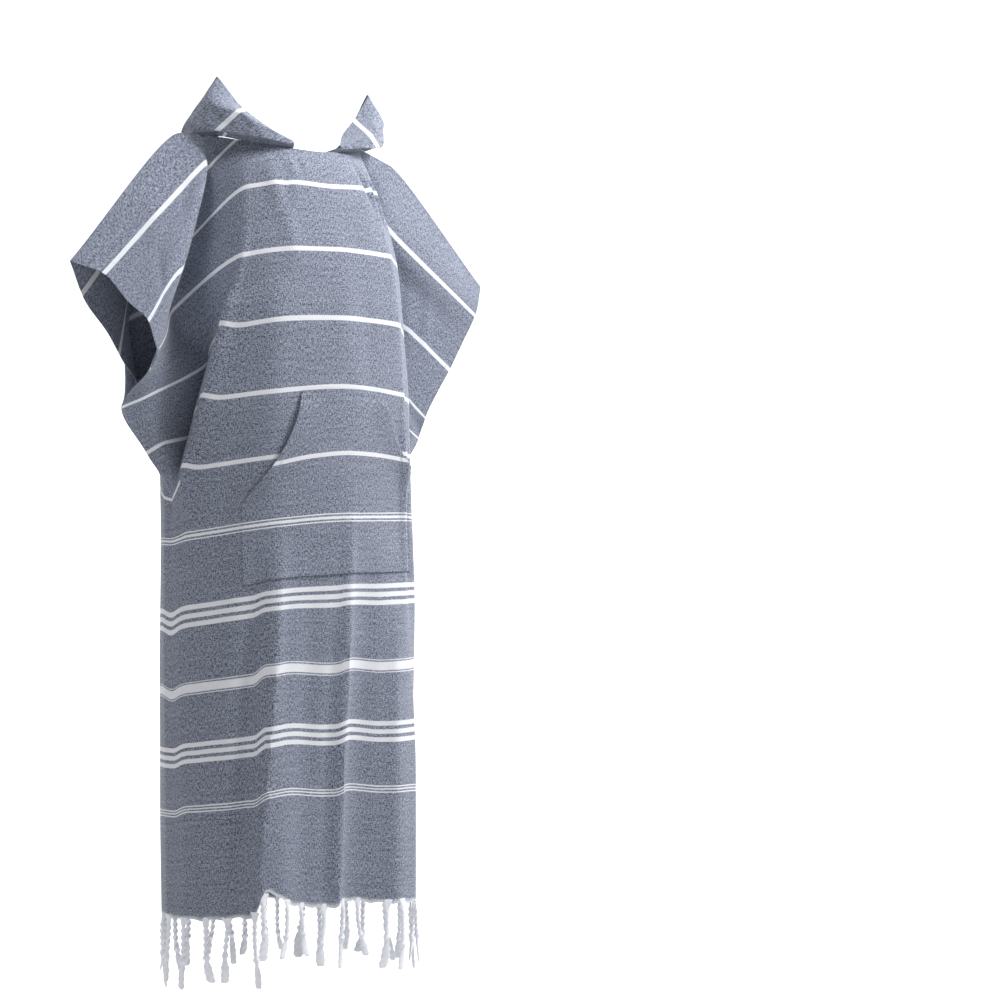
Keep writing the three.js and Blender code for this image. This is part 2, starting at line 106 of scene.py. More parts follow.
def soft_lamp(name, azimuth, height, distance, size, power):
    """A square lamp that looks at the chest."""
    turn = math.radians(azimuth)
    place = Vector((distance * math.sin(turn), -distance * math.cos(turn), height))
    aim = LAMP_AIM - place
    bpy.ops.object.light_add(type="AREA", location=place, rotation=aim.to_track_quat("-Z", "Y").to_euler())
    lamp = bpy.context.active_object
    lamp.name = name
    lamp.data.size = size
    lamp.data.energy = power


for lamp_row in LAMPS:
    soft_lamp(*lamp_row)

BELOW_HEM = 2.3
FLOOR_SIZE = 40
FLOOR = cad_box[0][2] - BELOW_HEM
bpy.ops.mesh.primitive_plane_add(size=FLOOR_SIZE, location=(0, 0, FLOOR))
floor = bpy.context.active_object
floor.name = "floor"
BACKDROP = 9.0
BACKDROP_SIZE = 30
SUNK_EDGE = 0.1
bpy.ops.mesh.primitive_plane_add(
    size=BACKDROP_SIZE,
    location=(-BACKDROP * math.sin(YAW), BACKDROP * math.cos(YAW), FLOOR + BACKDROP_SIZE / 2 - SUNK_EDGE),
    rotation=(math.pi / 2, 0, YAW),
)
backdrop = bpy.context.active_object
backdrop.name = "backdrop"

# %% [markdown]
# Shader maths reads best as plain expressions, so one small class wraps a
# socket and gives it the operators. Any other node comes from `make`.

# %% A socket that does sums
class Wire:
    """A value in a material: sums on it add Math nodes."""

    def __init__(self, tree, socket):
        self.tree = tree
        self.socket = socket

    def make(self, kind, settings=None, out=0, **sockets):
        node = self.tree.nodes.new(kind)
        for key, value in (settings or {}).items():
            setattr(node, key, value)
        for key, value in sockets.items():
            place = node.inputs[int(key[1:])] if key[0] == "n" and key[1:].isdigit() else node.inputs[key]
            if isinstance(value, Wire):
                self.tree.links.new(value.socket, place)
            else:
                place.default_value = value
        return Wire(self.tree, node.outputs[out])

    def math(self, operation, other=0.0, first=None, clamp=False):
        a, b = (self, other) if first is None else (first, self)
        return self.make("ShaderNodeMath", {"operation": operation, "use_clamp": clamp}, n0=a, n1=b)

    def __add__(self, other):
        return self.math("ADD", other)

    def __radd__(self, other):
        return self.math("ADD", other)

    def __mul__(self, other):
        return self.math("MULTIPLY", other)

    def __rmul__(self, other):
        return self.math("MULTIPLY", other)

    def __sub__(self, other):
        return self.math("SUBTRACT", other)

    def __rsub__(self, other):
        return self.math("SUBTRACT", first=other)

    def __abs__(self):
        return self.math("ABSOLUTE")

    def clamp(self):
        return self.math("ADD", 0.0, clamp=True)

    def larger(self, other):
        return self.math("MAXIMUM", other)

    def smooth(self, low, high):
        """0 at low and 1 at high, softly."""
        return self.make("ShaderNodeMapRange", {"interpolation_type": "SMOOTHSTEP"}, n0=self, n1=low, n2=high)

    def blend(self, first, second):
        """The colour first where this is 0 and second where it is 1."""
        node = self.make("ShaderNodeMix", {"data_type": "RGBA"}, out=2, Factor=self)
        for place, value in ((6, first), (7, second)):
            socket = node.socket.node.inputs[place]
            if isinstance(value, Wire):
                self.tree.links.new(value.socket, socket)
            else:
                socket.default_value = value
        return node


def new_material(name):
    """A fresh material, its shader, and a wire to start sums from."""
    material = bpy.data.materials.new(name)
    material.use_nodes = True
    tree = material.node_tree
    shader = tree.nodes["Principled BSDF"]
    return material, tree, shader


def srgb(red, green, blue):
    """A colour given as a screen shows it, for the shader."""
    shares = [level / 255 for level in (red, green, blue)]
    linear = [s / 12.92 if s <= 0.04045 else ((s + 0.055) / 1.055) ** 2.4 for s in shares]
    return (*linear, 1)


# %% [markdown]
# The towel is a chambray: white yarn one way and blue-grey yarn the other, so
# close up it is a fine speckle with slubs. The stripes are woven in, so they
# follow the cut and not the folds. Every cloth carries a UV map called `cut`,
# in metres on the flat cloth, and all the patterns read that.

# %% Stripes of the towel, in millimetres down from the shoulder fold
# Each row: first line, spacing, how many lines, and how wide each line is
STRIPES = [
    (40, 95, 6, 6.6),
    (604.5, 11, 2, 1.7),
    (610, 1, 1, 4.0),
    (710, 12, 3, 6.9),
    (816.3, 17.4, 2, 1.3),
    (825, 1, 1, 12.0),
    (907, 11.6, 3, 6.6),
    (996.8, 4.2, 3, 1.9),
]
HOOD_STRIPES = [(86, 95, 3, 6.8)]
SOFT_EDGE = 0.5

# The weave's noises: how many threads in a metre each way, and how strongly
# the tone of the cloth follows them
WEFT, WEFT_TONE = (240, 720, 1.0), 1.4
WARP, WARP_TONE = (720, 210, 1.0), 1.7
SLUB, SLUB_TONE = (14, 300, 3.0), 0.5
SPECKLE, SPECKLE_TONE = 720.0, 2.1
CLOUDS, CLOUD_TONE = 9.0, 0.12
THREAD_PITCH, THREAD_TONE = 1.9, 0.10
TWILL_PITCH, TWILL_TONE, TWILL_SLANT = 5.2, 0.045, 1.3
MEAN_TONE = 0.48
# How far the stripes ripple, and how far up the frayed white hem reaches
RIPPLE = 1.3
FRAY_LOW, FRAY_HIGH, FRAY_RAGGED = 1, 9, 7.0

YARN_DARK = srgb(62, 69, 86)
YARN_LIGHT = srgb(177, 184, 203)
WHITE_YARN = srgb(240, 242, 248)


def stripe_mask(down, stripes):
    """1 on the white lines and 0 between them; down is in millimetres."""
    mask = None
    for first, pitch, count, width in stripes:
        if count == 1:
            away = abs(down - first)
        else:
            middle = first + pitch * (count - 1) / 2
            local = (down - (first - pitch / 2)).math("FLOORED_MODULO", pitch) - pitch / 2
            outside = (abs(down - middle) - (pitch * count / 2 - 0.01)).math("MULTIPLY", 1000).clamp()
            away = abs(local) + outside * 1000
        line = (away.smooth(width / 2 + SOFT_EDGE, width / 2 - SOFT_EDGE)).clamp()
        mask = line if mask is None else mask.larger(line)
    return mask


# %% The towel's cloth
def towel_cloth(name, stripes, hem_at=None):
    material, tree, shader = new_material(name)
    start = Wire(tree, None)
    cut = start.make("ShaderNodeUVMap", {"uv_map": "cut"})
    split = cut.make("ShaderNodeSeparateXYZ", n0=cut)
    across = split * 1000
    down = Wire(tree, split.socket.node.outputs[1]) * 1000

    def threads(along_weft, along_warp, detail):
        """Streaks, from how many of them there are in a metre each way."""
        density = (along_weft, along_warp, 1)
        stretched = cut.make("ShaderNodeVectorMath", {"operation": "MULTIPLY"}, n0=cut, n1=density)
        return cut.make("ShaderNodeTexNoise", Vector=stretched, Scale=1.0, Detail=detail, Roughness=0.6)

    weft = threads(*WEFT)
    warp = threads(*WARP)
    slub = threads(*SLUB)
    speckle = cut.make("ShaderNodeTexNoise", Vector=cut, Scale=SPECKLE, Detail=1.0, Roughness=0.7)
    cloudy = cut.make("ShaderNodeTexNoise", Vector=cut, Scale=CLOUDS, Detail=3.0, Roughness=0.55)
    ribs = across.math("MULTIPLY", 2 * math.pi / THREAD_PITCH).math("SINE")
    picks = down.math("MULTIPLY", 2 * math.pi / THREAD_PITCH).math("SINE")
    weave = ribs * picks
    tone = MEAN_TONE + (weft - 0.5) * WEFT_TONE + (warp - 0.5) * WARP_TONE
    tone = tone + (speckle - 0.5) * SPECKLE_TONE + (slub - 0.5) * SLUB_TONE
    twill = (across + down * TWILL_SLANT).math("MULTIPLY", 2 * math.pi / TWILL_PITCH).math("SINE")
    tone = (tone + weave * THREAD_TONE + twill * TWILL_TONE + (cloudy - 0.5) * CLOUD_TONE).clamp()
    ground = tone.blend(YARN_DARK, YARN_LIGHT)

    wavy = down + (slub - 0.5) * RIPPLE
    white = stripe_mask(wavy, stripes)
    if hem_at is not None:
        ragged = down + (weft - 0.5) * FRAY_RAGGED
        fuzz = ragged.smooth(hem_at - FRAY_HIGH, hem_at - FRAY_LOW) * 0.75
        white = white.larger(fuzz)
    shade = ((warp - 0.5) * 0.5 + 0.93).clamp()
    yarn_white = shade.blend(srgb(188, 193, 208), WHITE_YARN)
    colour = white.blend(ground, yarn_white)
    tree.links.new(colour.socket, shader.inputs["Base Color"])

    rough = 0.86 + (tone - 0.5) * 0.12
    tree.links.new(rough.socket, shader.inputs["Roughness"])
    shader.inputs["Sheen Weight"].default_value = 0.25
    shader.inputs["Sheen Roughness"].default_value = 0.45
    shader.inputs["Specular IOR Level"].default_value = 0.25
    height = weave * 0.25 + (weft - 0.5) * 0.6 + (warp - 0.5) * 0.6 + white * 0.25 + (cloudy - 0.5) * 0.3
    bump = height.make("ShaderNodeBump", Height=height, Strength=0.42, Distance=0.0009)
    tree.links.new(bump.socket, shader.inputs["Normal"])
    return material


HEM = 1165
towel = towel_cloth("striped_towel", STRIPES, hem_at=HEM)
hood_cloth = towel_cloth("hood_towel", HOOD_STRIPES)
print("materials ready")


# %% Twisted yarn and floor paint
# A painted glow in the yarn's own colour stands in for the white studio's light shining through the loose
# yarn
YARN_PAINTED_GLOW = 0.17


def cotton_yarn(name, dark, light, painted_glow):
    material, tree, shader = new_material(name)
    start = Wire(tree, None)
    place = start.make("ShaderNodeTexCoord", out=3)
    fibres = place.make("ShaderNodeTexNoise", Vector=place, Scale=900.0, Detail=2.0)
    clumps = place.make("ShaderNodeTexNoise", Vector=place, Scale=60.0, Detail=2.0)
    tone = (fibres * 0.6 + clumps * 0.5).clamp()
    colour = tone.blend(dark, light)
    tree.links.new(colour.socket, shader.inputs["Base Color"])
    # Painted light: the yarn's colour is also its emission, so it glows by itself
    tree.links.new(colour.socket, shader.inputs["Emission Color"])
    shader.inputs["Emission Strength"].default_value = painted_glow
    rough = 0.82 + fibres * 0.12
    tree.links.new(rough.socket, shader.inputs["Roughness"])
    shader.inputs["Sheen Weight"].default_value = 0.3
    bump = fibres.make("ShaderNodeBump", Height=fibres, Strength=0.6, Distance=0.0008)
    tree.links.new(bump.socket, shader.inputs["Normal"])
    return material


def studio_white(name, glow):
    """A white stage finish that shines a little by itself."""
    material, tree, shader = new_material(name)
    place = Wire(tree, None).make("ShaderNodeTexCoord", out=3)
    mottle = place.make("ShaderNodeTexNoise", Vector=place, Scale=2.0)
    colour = mottle.blend(srgb(252, 252, 251), srgb(255, 255, 254))
    tree.links.new(colour.socket, shader.inputs["Base Color"])
    shader.inputs["Roughness"].default_value = 0.9
    shader.inputs["Emission Color"].default_value = (1, 1, 1, 1)
    shader.inputs["Emission Strength"].default_value = glow
    return material


yarn = cotton_yarn("cotton_yarn", srgb(196, 200, 214), srgb(246, 247, 251), YARN_PAINTED_GLOW)
thread = cotton_yarn("sewing_thread", srgb(120, 127, 146), srgb(196, 201, 216), 0.0)
floor.data.materials.append(studio_white("white_floor", 0.14))
backdrop.data.materials.append(studio_white("white_backdrop", 1.0))

# %% [markdown]
# The form is a short table. Each row is a line across the cloth, with six
# stations from the middle of the panel to its side edge: the centre, mid
# chest, the chest's crest, the valley at the armpit, the sleeve's crest and
# the edge. A station says how far down the cut it is, and where it hangs.

# %% Where the cloth hangs
# Stations of each row: (down, x, y, z), in millimetres
FRONT_ROWS = [
    [(85, 0, -70, -18), (83, -52, -62, -15), (50, -104, -34, -7),
     (8, -131, -5, 0), (0, -190, 0, 0), (0, -373, 0, -188)],
    [(104, 0, -81, -37), (102, -54, -76, -35), (84, -110, -46, -36),
     (52, -148, -2, -60), (38, -160, -20, -38), (40, -337, -28, -205)],
    [(135, 0, -95, -69), (135, -58, -92, -67), (130, -116, -60, -70),
     (120, -168, 4, -130), (90, -204, -50, -128), (92, -319, -58, -243)],
    [(182, 0, -107, -114), (182, -64, -103, -114), (180, -129, -72, -122),
     (178, -182, 10, -190), (140, -242, -68, -206), (137, -300, -80, -271)],
    [(230, 0, -118, -160), (230, -72, -113, -162), (230, -140, -78, -173),
     (230, -192, 12, -244), (185, -262, -66, -272), (180, -288, -80, -303)],
    [(278, 0, -125, -208), (278, -80, -118, -210), (278, -153, -72, -226),
     (278, -176, 8, -284), (240, -256, -30, -318), (232, -272, -42, -334)],
    [(325, 0, -130, -257), (325, -88, -122, -260), (325, -165, -64, -281),
     (325, -145, -8, -314), (325, -250, -14, -366), (325, -288, 0, -384)],
    [(420, 0, -135, -353), (420, -100, -122, -360), (420, -188, -46, -380),
     (420, -168, 1, -419), (420, -228, -9, -434), (420, -246, 0, -446)],
    [(515, 0, -136, -444), (515, -112, -118, -452), (515, -199, -30, -474),
     (515, -204, -17, -492), (515, -204, -9, -503), (515, -202, 0, -512)],
    [(610, 0, -136, -536), (610, -114, -114, -544), (610, -190, -46, -560),
     (610, -200, -26, -564), (610, -203, -12, -566), (610, -203, 0, -567)],
    [(750, 0, -134, -674), (750, -112, -122, -682), (750, -186, -56, -697),
     (750, -200, -32, -701), (750, -204, -14, -703), (750, -204, 0, -704)],
    [(900, 0, -128, -822), (900, -108, -126, -829), (900, -182, -62, -841),
     (900, -197, -36, -845), (900, -201, -16, -846), (900, -201, 0, -846)],
    [(1040, 0, -124, -960), (1040, -106, -128, -964), (1040, -180, -66, -974),
     (1040, -195, -38, -977), (1040, -199, -18, -978), (1040, -199, 0, -978)],
    [(HEM, 0, -122, -1084), (HEM, -104, -130, -1086), (HEM, -178, -68, -1094),
     (HEM, -193, -40, -1096), (HEM, -197, -18, -1097), (HEM, -197, 0, -1097)],
]
BACK_ROWS = [
    [(25, 0, 72, -8), (24, -56, 66, -7), (16, -106, 38, -4),
     (4, -131, 5, 0), (0, -190, 0, 0), (0, -373, 0, -188)],
    [(62, 0, 92, -40), (62, -58, 86, -39), (60, -114, 56, -38),
     (50, -146, 26, -44), (52, -176, 26, -52), (55, -333, 18, -244)],
    [(100, 0, 104, -76), (100, -62, 98, -75), (100, -124, 72, -76),
     (98, -158, 38, -92), (104, -202, 44, -110), (102, -298, 20, -281)],
    [(150, 0, 114, -124), (150, -66, 108, -124), (150, -134, 84, -126),
     (150, -168, 44, -150), (156, -224, 54, -176), (150, -273, 18, -320)],
    [(215, 0, 121, -188), (215, -72, 116, -188), (215, -146, 90, -192),
     (215, -180, 46, -220), (220, -240, 60, -254), (212, -246, 22, -352)],
    [(278, 0, 126, -250), (278, -78, 120, -250), (278, -156, 86, -256),
     (278, -190, 42, -282), (278, -246, 48, -318), (276, -262, 15, -369)],
    [(325, 0, 128, -298), (325, -84, 122, -298), (325, -164, 78, -306),
     (325, -197, 36, -330), (325, -246, 32, -358), (325, -288, 0, -384)],
    [(420, 0, 130, -392), (420, -94, 120, -393), (420, -178, 60, -402),
     (420, -205, 26, -420), (420, -230, 16, -434), (420, -246, 0, -446)],
    [(515, 0, 131, -487), (515, -104, 116, -488), (515, -184, 52, -496),
     (515, -200, 26, -504), (515, -205, 12, -509), (515, -202, 0, -512)],
    [(610, 0, 131, -582), (610, -108, 112, -580), (610, -184, 52, -574),
     (610, -199, 28, -570), (610, -204, 13, -568), (610, -203, 0, -567)],
    [(750, 0, 127, -722), (750, -106, 116, -720), (750, -183, 56, -711),
     (750, -199, 30, -707), (750, -204, 14, -705), (750, -204, 0, -704)],
    [(900, 0, 122, -871), (900, -104, 118, -867), (900, -180, 60, -854),
     (900, -196, 32, -849), (900, -201, 15, -847), (900, -201, 0, -846)],
    [(1040, 0, 118, -1008), (1040, -102, 120, -1003), (1040, -178, 62, -988),
     (1040, -194, 34, -982), (1040, -199, 16, -979), (1040, -199, 0, -978)],
    [(HEM, 0, 116, -1100), (HEM, -100, 120, -1100), (HEM, -176, 62, -1099),
     (HEM, -192, 34, -1098), (HEM, -197, 16, -1097), (HEM, -197, 0, -1097)],
]

# The wearer's left hangs a little differently: its sleeve falls straight down,
# and the cloth of the back comes forward over the shoulder. These take the
# place of the first rows' places down the cut, and of the valley, the
# sleeve's crest and the edge, still written as on the right.
FRONT_LEFT = [
    ((85, 83, 50, -10, -30, -22), (-131, -5, 0), (-190, 0, -16), (-373, 0, -188)),
    ((104, 102, 84, 46, 38, 40), (-150, -6, -84), (-170, -20, -108), (-353, -10, -233)),
    ((135, 135, 130, 112, 92, 92), (-172, 6, -150), (-206, -4, -186), (-329, -8, -275)),
    ((182, 182, 180, 160, 137, 137), (-184, 10, -210), (-214, -4, -250), (-303, -7, -318)),
    ((230, 230, 230, 210, 185, 182), (-194, 10, -268), (-218, -4, -306), (-279, -7, -352)),
    ((278, 278, 278, 262, 240, 230), (-200, 8, -318), (-220, -4, -362), (-256, -7, -390)),
    ((325, 325, 325, 322, 322, 325), (-204, 2, -370), (-226, -8, -408), (-248, 0, -420)),
    ((420, 420, 420, 420, 420, 420), (-206, -8, -420), (-214, -8, -448), (-222, 0, -458)),
]
BACK_LEFT = [
    ((25, 24, 16, 12, 30, 22), (-131, 5, 0), (-190, 0, -16), (-373, 0, -188)),
    ((62, 62, 60, 50, 60, 62), (-146, 26, -44), (-206, 30, -70), (-340, 22, -238)),
    ((100, 100, 100, 98, 106, 106), (-158, 38, -92), (-216, 44, -122), (-316, 24, -285)),
    ((150, 150, 150, 150, 158, 152), (-168, 44, -150), (-230, 52, -184), (-294, 24, -328)),
    ((215, 215, 215, 215, 220, 212), (-180, 46, -220), (-240, 56, -262), (-270, 24, -370)),
    ((278, 278, 278, 278, 278, 276), (-190, 42, -282), (-240, 46, -336), (-257, 14, -398)),
    ((325, 325, 325, 325, 325, 325), (-197, 36, -330), (-236, 26, -396), (-248, 0, -420)),
    ((420, 420, 420, 420, 420, 420), (-205, 26, -420), (-222, 18, -446), (-222, 0, -458)),
]
# How much higher each row hangs on the wearer's left, and each station's share
LEFT_LIFT = (0, 0, 0, 0, 0, 0, 0, 0, 16, 20, 22, 16, 4, -4)
FRONT_SHARE = (0, 0.4, 1, 1, 1, 1)
BACK_SHARE = (0, 0, 0.3, 0.7, 0.9, 1)


def left_rows(rows, changes, shares):
    """The table of the wearer's left half, from that of the right."""
    table = np.array(rows, dtype=float)
    for k, (downs, *places) in enumerate(changes):
        table[k, :, 0] = downs
        table[k, 3:, 1:] = places
    table[:, :, 3] += np.outer(LEFT_LIFT, shares)
    return table


# %% [markdown]
# Between the rows and stations the cloth follows a curve that never swings
# past its own points, so no wall crosses itself in the deep folds.


# %% Smooth curve through the table
def through(points, steps):
    """Points between the entries of a table, along its first axis."""
    table = np.asarray(points, dtype=float)
    padded = np.concatenate([[2 * table[0] - table[1]], table, [2 * table[-1] - table[-2]]])
    steps = np.asarray(steps, dtype=float)
    i = np.minimum(np.floor(steps).astype(int), len(table) - 2)
    t = (steps - i).reshape(-1, *([1] * (table.ndim - 1)))
    p0, p1, p2, p3 = (padded[i + k] for k in range(4))

    def slope(before, after):
        total = before + after
        safe = np.where(np.abs(total) < 1e-12, 1, total)
        return np.where(before * after <= 0, 0, 2 * before * after / safe)

    m1 = slope(p1 - p0, p2 - p1)
    m2 = slope(p2 - p1, p3 - p2)
    t2, t3 = t * t, t * t * t
    return (2 * t3 - 3 * t2 + 1) * p1 + (t3 - 2 * t2 + t) * m1 + (3 * t2 - 2 * t3) * p2 + (t3 - t2) * m2


def steps_between(counts):
    """Step values for a table, with a number of steps for each gap."""
    values = [span + k / count for span, count in enumerate(counts) for k in range(count)]
    return values + [len(counts)]


def row_counts(rows, spacing):
    """Steps for each gap between rows, so that they are about evenly spaced."""
    downs = [max(b[0][0] - a[0][0], b[5][0] - a[5][0]) for a, b in zip(rows, rows[1:])]
    return [max(2, round(gap / spacing)) for gap in downs]


def half_panel(rows, counts, across_counts):
    """Half a panel as (down, x, y, z), row by row from the centre to the edge."""
    stations = through(rows, steps_between(counts))
    mirrored = stations[:, 1:2] * np.array([1, -1, 1, 1])
    line = np.swapaxes(np.concatenate([mirrored, stations], axis=1), 0, 1)
    return np.swapaxes(through(line, np.array(steps_between(across_counts)) + 1), 0, 1)


def hung_panel(rows, left, side, across_counts, spacing):
    """Places of a whole panel, row by row from its left to its right as seen
    from outside, with the cut's two coordinates, across and down. Across is
    positive on the wearer's left."""
    counts = row_counts(rows, spacing)
    right_half = half_panel(rows, counts, across_counts)
    left_half = half_panel(left, counts, across_counts)[:, :0:-1] * np.array([1, -1, 1, 1])
    whole = np.concatenate([left_half, right_half], axis=1)
    places = whole[..., 1:]
    gaps = np.linalg.norm(np.diff(places, axis=1), axis=2)
    lengths = np.concatenate([np.zeros((len(places), 1)), np.cumsum(gaps, axis=1)], axis=1)
    middle = left_half.shape[1]
    across = lengths[:, middle:middle + 1] - lengths
    order = slice(None, None, -1 if side < 0 else 1)
    return places[:, order], across[:, order], whole[:, order, 0]


# %% [markdown]
# The creases are given one by one, each as a soft ridge or trough between two
# points of the cut. Lengths, depths and spacing are uneven, as on real cloth.
# Across is positive on the wearer's left, which is the right of the picture.

# %% Creases
# (across and down where it starts, where it ends, half width, height)
FRONT_CREASES = [
    (-102, 560, -146, 1165, 17, 8.5),
    (-138, 600, -174, 1165, 17, -8.0),
    (-56, 640, -70, 1165, 26, -7.0),
    (-20, 700, -30, 1165, 12, -3.0),
    (6, 540, -12, 1165, 14, 7.5),
    (-101, 600, -145, 1165, 4.5, 3.2),
    (7, 600, -11, 1165, 4.5, 2.6),
    (44, 620, 30, 1165, 24, -6.0),
    (98, 720, 90, 1165, 15, 6.0),
    (-180, 660, -192, 1165, 20, 5.0),
    (118, 330, 128, 760, 9, 7.0),
    (142, 360, 150, 800, 13, -8.0),
    (168, 420, 176, 900, 16, 5.0),
    (150, 820, 146, 1165, 15, 5.0),
    (-128, 150, -240, 560, 7, 6.0),
    (-172, 420, -226, 640, 13, 4.0),
    (-104, 230, -124, 470, 20, 2.5),
    (-176, 520, -196, 760, 14, -5.0),
    (94, 130, 122, 430, 15, 5.0),
    (60, 86, 88, 170, 5, -4.4),
    (70, 82, 100, 184, 4.5, 4.2),
    (80, 82, 114, 196, 5, -5.0),
    (91, 78, 124, 196, 4.5, 4.6),
    (104, 80, 136, 150, 5, -2.4),
    (-60, 96, -92, 210, 11, -3.0),
    (-96, 84, -70, 270, 13, 4.0),
    (-34, 92, -31, 120, 3.4, 1.2),
    (-43, 92, -41, 124, 3.4, -1.4),
    (-55, 90, -54, 128, 3.6, 1.4),
    (-68, 90, -70, 124, 3.6, -1.2),
    (-84, 80, -88, 118, 4, 1.2),
    (240, 60, 300, 200, 15, 4.0),
    (290, 60, 350, 190, 11, -3.2),
    (350, 40, 384, 160, 10, 2.4),
    (-250, 20, -330, 100, 14, -3.0),
    (-300, 10, -390, 80, 12, 2.6),
    (-360, 60, -420, 150, 10, -2.4),
    (-300, 330, -340, 420, 12, -3.0),
    (10, 200, -6, 420, 24, 2.0),
    (40, 250, 52, 500, 18, -1.6),
]
BACK_CREASES = [
    (-96, 70, -104, 620, 13, 6.0),
    (-68, 200, -84, 900, 16, -4.5),
    (104, 60, 96, 700, 12, 5.0),
    (132, 120, 128, 640, 14, -5.0),
    (30, 420, 20, 1165, 18, 3.5),
    (-20, 500, -34, 1165, 18, -4.0),
    (78, 700, 86, 1165, 16, 5.0),
    (-130, 640, -126, 1165, 15, 5.5),
    (-160, 700, -166, 1165, 14, -4.0),
    (140, 760, 150, 1165, 16, -5.0),
    (-176, 300, -190, 620, 14, 4.0),
    (176, 260, 188, 600, 14, 4.5),
    (-250, 40, -330, 180, 14, -4.0),
    (-280, 20, -370, 120, 11, 3.0),
    (250, 30, 330, 170, 15, 4.0),
    (300, 30, 380, 120, 11, -3.2),
    (-40, 30, -52, 110, 6, -1.8),
    (52, 30, 66, 120, 6, -2.0),
]


def smoothstep(x):
    x = np.clip(x, 0, 1)
    return x * x * (3 - 2 * x)


def rise(x, start, length):
    """0 at start and 1 a length further on, softly; a negative length falls."""
    return smoothstep((x - start) / length)


def hump(x, middle, half_width):
    """1 at the middle and about a third at the half width."""
    return np.exp(-((x - middle) / half_width) ** 2)


def crease_height(across, down, creases):
    """How far the creases move each point outwards."""
    height = np.zeros_like(across)
    for a0, d0, a1, d1, width, depth in creases:
        line = np.array([a1 - a0, d1 - d0], dtype=float)
        length = np.hypot(*line)
        line /= length
        along = (across - a0) * line[0] + (down - d0) * line[1]
        beside = (across - a0) * line[1] - (down - d0) * line[0]
        t = np.clip(along / length, 0, 1)
        fade = np.sin(np.pi * np.clip(t, 0, 0.5)) if d1 >= HEM else np.sin(np.pi * t)
        inside = (along > 0) & ((along < length) | (d1 >= HEM))
        spread = width * (0.75 + 0.35 * t)
        height += np.where(inside, depth * fade ** 1.3 * np.exp(-(beside / spread) ** 2), 0)
    return height


def outward_normals(places):
    """Normals of a grid of points, to the side that its columns are seen from."""
    normals = np.cross(np.gradient(places, axis=1), -np.gradient(places, axis=0))
    return normals / np.maximum(np.linalg.norm(normals, axis=2, keepdims=True), 1e-9)


# %% [markdown]
# A grid primitive is the flat cloth. Its points are moved to where they hang,
# and the UV map keeps where they were on the cut. Solidify then gives it its
# thickness, to the outside, so that the seams stay where the form has them.


# %% Cloth from a flat grid
def sewn_cloth(name, places, across, down, material, thickness):
    rows, columns = across.shape
    bpy.ops.mesh.primitive_grid_add(x_subdivisions=columns - 1, y_subdivisions=rows - 1, size=2)
    piece = bpy.context.active_object
    piece.name = piece.data.name = name
    mesh = piece.data
    flat = np.empty(len(mesh.vertices) * 3)
    mesh.vertices.foreach_get("co", flat)
    flat = flat.reshape(-1, 3)
    column = np.rint((flat[:, 0] + 1) / 2 * (columns - 1)).astype(int)
    row = np.rint((1 - flat[:, 1]) / 2 * (rows - 1)).astype(int)
    mesh.vertices.foreach_set("co", (places[row, column] * MM).ravel())
    corners = np.empty(len(mesh.loops), dtype=int)
    mesh.loops.foreach_get("vertex_index", corners)
    cut = mesh.uv_layers.active or mesh.uv_layers.new()
    cut.name = "cut"
    uv = np.stack([across[row, column], down[row, column]], axis=1)[corners] * MM
    cut.data.foreach_set("uv", uv.ravel())
    mesh.materials.append(material)
    mesh.update()
    bpy.ops.object.shade_smooth()
    wall = piece.modifiers.new("thickness", "SOLIDIFY")
    wall.thickness = thickness * MM
    wall.offset = 1
    wall.use_even_offset = False
    bpy.ops.object.modifier_apply(modifier=wall.name)
    bpy.ops.object.shade_smooth_by_angle(angle=math.radians(55))
    print(name, len(piece.data.polygons), "faces")
    return piece


CLOTH = 1.4
ACROSS_COUNTS = (20, 20, 17, 15, 24)
ROW_SPACING = 5.6
TASSELS = 16
SCALLOP = 3.2
SEAM_DIP = 9
CREST_LEAN = 9
CREST_RISE = 8
STEP_RISE = 11
SECOND_RISE = 6
NOTCH_RISE = 24
SLEEVE_SAG = 15
BACK_DROP = 8


def crest_band(across, down, width):
    """1 along the chest's crest on the wearer's right, and 0 away from it."""
    crest = np.interp(down, (170, 520), (-132, -240))
    fade = rise(down, 245, 65) * rise(down, 630, -100)
    return fade * hump(across, crest, np.where(across < crest, 7, width))


def panel_cloth(name, rows, left, side, creases, lift):
    """A front (side -1) or back (side 1) panel with its creases."""
    places, across, down = hung_panel(rows, left, side, ACROSS_COUNTS, ROW_SPACING)
    edges = np.abs(across[:, [0, -1]])
    from_edge = np.where(across * side < 0, edges[:, 1:], edges[:, :1]) - np.abs(across)
    near_seam = rise(from_edge, 0, 14)
    top = rise(down, down[0], 22)
    height = crease_height(across, down, creases) * near_seam * top
    places = places + outward_normals(places) * height[..., None]
    arches = np.abs(np.cos(np.pi * TASSELS * np.abs(across - across[:, :1]) / np.ptp(across[-1])))
    scallops = SCALLOP * arches * rise(down, HEM - 14, 14)
    places[..., 2] += (lift(across, down) + scallops) * near_seam
    reach = 18 + 40 * rise(down, 840, 60) * (side > 0)
    dip = hump(from_edge, 0, reach) * rise(down, 560, 130) * rise(down, HEM, -120)
    places[..., 2] -= np.where(across < 0, SEAM_DIP * dip, 0)
    if side < 0:
        lean = CREST_LEAN * crest_band(across, down, 24)
        places = places - lean[..., None] * np.array([math.cos(YAW), math.sin(YAW), 0])
    piece = sewn_cloth(name, places, across, down, towel, CLOTH)
    return piece, places, across, down


